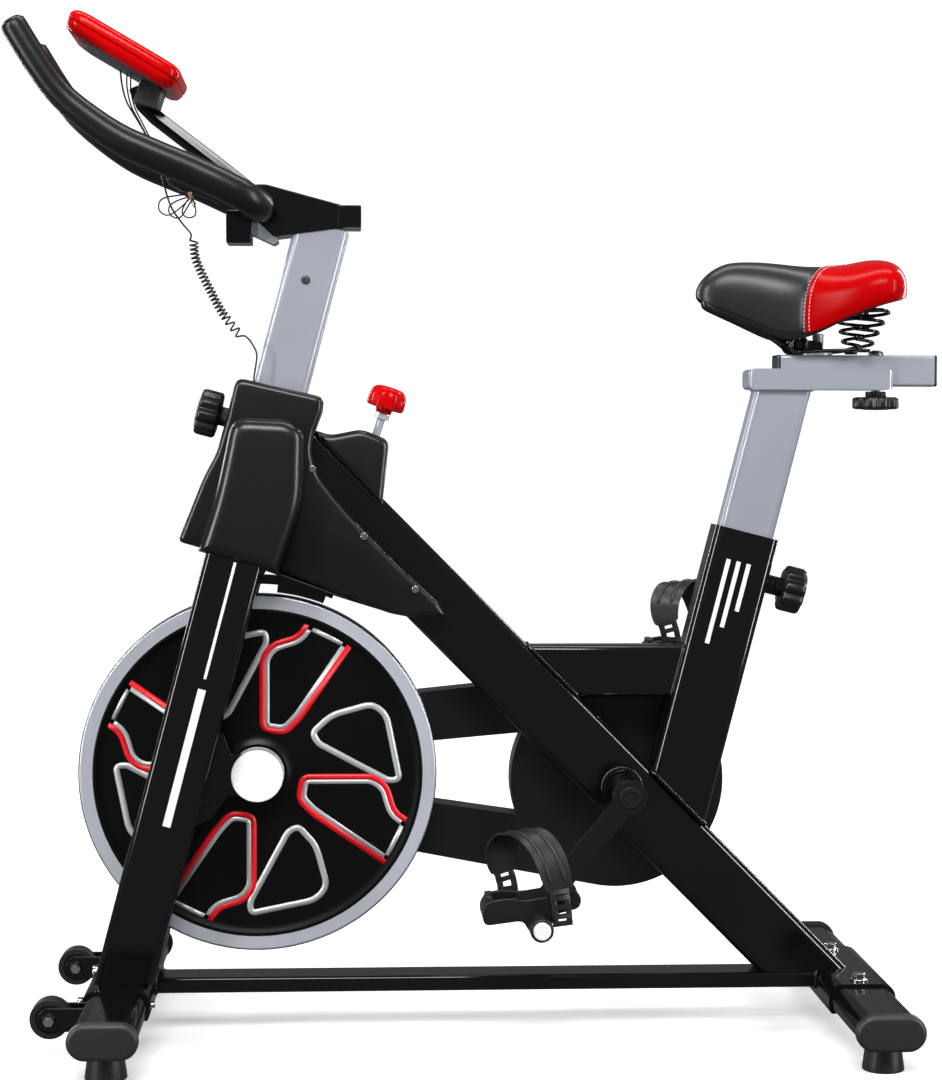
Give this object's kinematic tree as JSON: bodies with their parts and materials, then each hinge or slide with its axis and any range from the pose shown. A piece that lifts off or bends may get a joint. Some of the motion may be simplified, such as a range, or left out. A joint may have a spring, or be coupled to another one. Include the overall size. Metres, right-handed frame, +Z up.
{
  "type": "indoor spin bike",
  "caption": "Belt-driven flywheel exercise bike with sliding handlebar post, seat post and saddle rail, toe-strap pedals, push brake, tilted console and levelling feet.",
  "frame": {"origin": "bottom centre of the bike's bounding box, on the floor", "axes": "+X towards the saddle end, +Y to the rider's right (belt side), +Z up"},
  "size_m": [1.0597, 0.5, 1.1611],
  "materials": {
    "frame_paint": "gloss black paint",
    "end_cap_plastic": "matte black moulded plastic",
    "foot_rubber": "black rubber",
    "bolt_steel": "bright zinc plate",
    "bearing_steel": "ground steel",
    "shaft_steel": "turned steel",
    "spindle_steel": "bright plated steel",
    "cap_white": "white moulded plastic",
    "cover_plastic": "satin black moulded plastic",
    "guard_plastic": "matte black moulded plastic",
    "belt_rubber": "ribbed black belt",
    "bushing_plastic": "black moulded plastic",
    "flywheel_iron": "machined silver rim with black face",
    "pulley_steel": "turned steel",
    "pulley_plastic": "black moulded plastic",
    "crank_paint": "black coated forged steel",
    "pedal_plastic": "black moulded plastic",
    "strap_rubber": "ribbed black strap",
    "post_silver": "satin silver grey paint",
    "handlebar_paint": "gloss black paint",
    "grip_foam": "dense black foam",
    "console_red": "gloss red plastic",
    "console_dark": "dark grey moulded plastic",
    "button_plastic": "dark button",
    "cord_rubber": "black cord jacket",
    "saddle_vinyl": "charcoal and red vinyl",
    "saddle_plastic": "black moulded plastic",
    "spring_steel": "black coated spring wire",
    "clamp_steel": "dark plated steel",
    "knob_black": "black fluted plastic",
    "rod_chrome": "polished chrome",
    "knob_red": "gloss red fluted plastic",
    "arm_steel": "pressed steel and felt pad",
    "wheel_rubber": "black wheel"
  },
  "bodies": {
    "frame": {"fork_leg_left": "frame_paint", "fork_leg_right": "frame_paint", "head_sleeve": "frame_paint", "diagonal_tube": "frame_paint", "seat_tube": "frame_paint", "brace_tube": "frame_paint", "base_bar": "frame_paint", "stabilizer_saddles": "frame_paint", "stabilizer_tubes": "frame_paint", "stabilizer_end_caps": "end_cap_plastic", "frame_fasteners": "bolt_steel", "wheel_brackets": "frame_paint", "bearings": "bearing_steel", "axle_caps": "cap_white", "front_cover_left": "cover_plastic", "front_cover_right": "cover_plastic", "brake_housing": "cover_plastic", "belt_guard_inner": "guard_plastic", "belt_guard_outer": "guard_plastic", "drive_belt": "belt_rubber", "post_bushings": "bushing_plastic"},
    "flywheel": {"flywheel": "flywheel_iron", "flywheel_shaft": "shaft_steel", "small_pulley": "pulley_steel"},
    "crank": {"crank_spindle": "shaft_steel", "crank_left": "crank_paint", "crank_right": "crank_paint", "drive_pulley": "pulley_plastic", "pedal_spindles": "spindle_steel"},
    "pedal_left": {"pedal_left": "pedal_plastic", "strap_left": "strap_rubber"},
    "pedal_right": {"pedal_right": "pedal_plastic", "strap_right": "strap_rubber"},
    "handlebar": {"handlebar_post": "post_silver", "handlebar": "handlebar_paint", "handlebar_grips": "grip_foam", "console_arm": "handlebar_paint", "console_back": "console_dark", "console_front": "console_red", "console_leads": "cord_rubber", "curly_cord": "cord_rubber"},
    "button": {"console_button": "button_plastic"},
    "seat_post": {"seat_post": "post_silver"},
    "rail": {"seat_rail": "post_silver", "saddle_clamp": "clamp_steel", "saddle_springs": "spring_steel"},
    "saddle": {"saddle_base": "saddle_plastic", "saddle_cushion": "saddle_vinyl"},
    "front_knob": {"front_knob": "knob_black"},
    "seat_knob": {"seat_knob": "knob_black"},
    "rail_knob": {"rail_knob": "knob_black"},
    "brake_rod": {"brake_rod": "rod_chrome"},
    "brake_knob": {"brake_knob": "knob_red"},
    "brake_arm": {"brake_arm": "arm_steel"},
    "transport_wheel_left": {"transport_wheel_left": "wheel_rubber"},
    "transport_wheel_right": {"transport_wheel_right": "wheel_rubber"},
    "foot_front_left": {"foot_front_left": "foot_rubber"},
    "foot_front_right": {"foot_front_right": "foot_rubber"},
    "foot_rear_left": {"foot_rear_left": "foot_rubber"},
    "foot_rear_right": {"foot_rear_right": "foot_rubber"}
  },
  "joints": [
    {"name": "flywheel_spin", "type": "hinge", "parent": "frame", "child": "flywheel", "pos_m": [-0.251, 0, 0.2995], "axis": [0, 1, 0], "continuous": true},
    {"name": "crank_spin", "type": "hinge", "parent": "frame", "child": "crank", "pos_m": [0.167, 0, 0.2815], "axis": [0, 1, 0], "continuous": true},
    {"name": "pedal_left_spin", "type": "hinge", "parent": "crank", "child": "pedal_left", "pos_m": [0.06078, -0.15, 0.15264], "axis": [0, 1, 0], "continuous": true},
    {"name": "pedal_right_spin", "type": "hinge", "parent": "crank", "child": "pedal_right", "pos_m": [0.27322, 0.15, 0.41036], "axis": [0, 1, 0], "continuous": true},
    {"name": "handlebar_height", "type": "slide", "parent": "frame", "child": "handlebar", "axis": [0.2529, 0, 0.9675], "range_m": [-0.07, 0.05], "deforming": ["curly_cord"]},
    {"name": "seat_height", "type": "slide", "parent": "frame", "child": "seat_post", "axis": [0.247, 0, 0.969], "range_m": [-0.1, 0.06]},
    {"name": "seat_fore_aft", "type": "slide", "parent": "seat_post", "child": "rail", "axis": [1, 0, 0], "range_m": [-0.035, 0.04]},
    {"name": "saddle_bounce", "type": "slide", "parent": "rail", "child": "saddle", "axis": [0, 0, 1], "range_m": [-0.008, 0], "stiffness_N_per_m": 30000, "springref_m": 0.003, "deforming": ["saddle_springs"]},
    {"name": "front_pin_pull", "type": "slide", "parent": "frame", "child": "front_knob", "axis": [-0.9675, 0, 0.2529], "range_m": [0, 0.01], "stiffness_N_per_m": 1500, "springref_m": -0.006},
    {"name": "seat_pin_pull", "type": "slide", "parent": "frame", "child": "seat_knob", "axis": [0.969, 0, -0.247], "range_m": [0, 0.01], "stiffness_N_per_m": 1500, "springref_m": -0.006},
    {"name": "rail_knob_turn", "type": "hinge", "parent": "seat_post", "child": "rail_knob", "pos_m": [0.463, 0, 0.725], "axis": [0, 0, 1], "range_deg": [0, 360]},
    {"name": "brake_push", "type": "slide", "parent": "frame", "child": "brake_rod", "axis": [0.3024, 0, 0.9532], "range_m": [-0.003, 0], "stiffness_N_per_m": 3000, "springref_m": 0.005},
    {"name": "brake_turn", "type": "hinge", "parent": "brake_rod", "child": "brake_knob", "pos_m": [-0.1164, 0, 0.6857], "axis": [0.3024, 0, 0.9532], "range_deg": [-720, 720]},
    {"name": "brake_arm_swing", "type": "hinge", "parent": "frame", "child": "brake_arm", "pos_m": [-0.252, 0, 0.533], "axis": [0, 1, 0], "range_deg": [0, 2.2]},
    {"name": "transport_wheel_left_spin", "type": "hinge", "parent": "frame", "child": "transport_wheel_left", "pos_m": [-0.474, -0.128, 0.047], "axis": [0, 1, 0], "continuous": true},
    {"name": "transport_wheel_right_spin", "type": "hinge", "parent": "frame", "child": "transport_wheel_right", "pos_m": [-0.474, 0.128, 0.047], "axis": [0, 1, 0], "continuous": true},
    {"name": "foot_front_left_turn", "type": "hinge", "parent": "frame", "child": "foot_front_left", "pos_m": [-0.406, -0.205, 0.013], "axis": [0, 0, 1], "range_deg": [-360, 360]},
    {"name": "foot_front_right_turn", "type": "hinge", "parent": "frame", "child": "foot_front_right", "pos_m": [-0.406, 0.205, 0.013], "axis": [0, 0, 1], "range_deg": [-360, 360]},
    {"name": "foot_rear_left_turn", "type": "hinge", "parent": "frame", "child": "foot_rear_left", "pos_m": [0.432, -0.205, 0.013], "axis": [0, 0, 1], "range_deg": [-360, 360]},
    {"name": "foot_rear_right_turn", "type": "hinge", "parent": "frame", "child": "foot_rear_right", "pos_m": [0.432, 0.205, 0.013], "axis": [0, 0, 1], "range_deg": [-360, 360]},
    {"name": "button_press", "type": "slide", "parent": "handlebar", "child": "button", "axis": [0.5, 0, 0.866], "range_m": [-0.001, 0], "stiffness_N_per_m": 800, "springref_m": 0.001}
  ],
  "couplings": [
    {"joint": "crank_spin", "follows": "flywheel_spin", "ratio": 0.3},
    {"joint": "brake_arm_swing", "follows": "brake_push", "rad_per_m": -12}
  ]
}
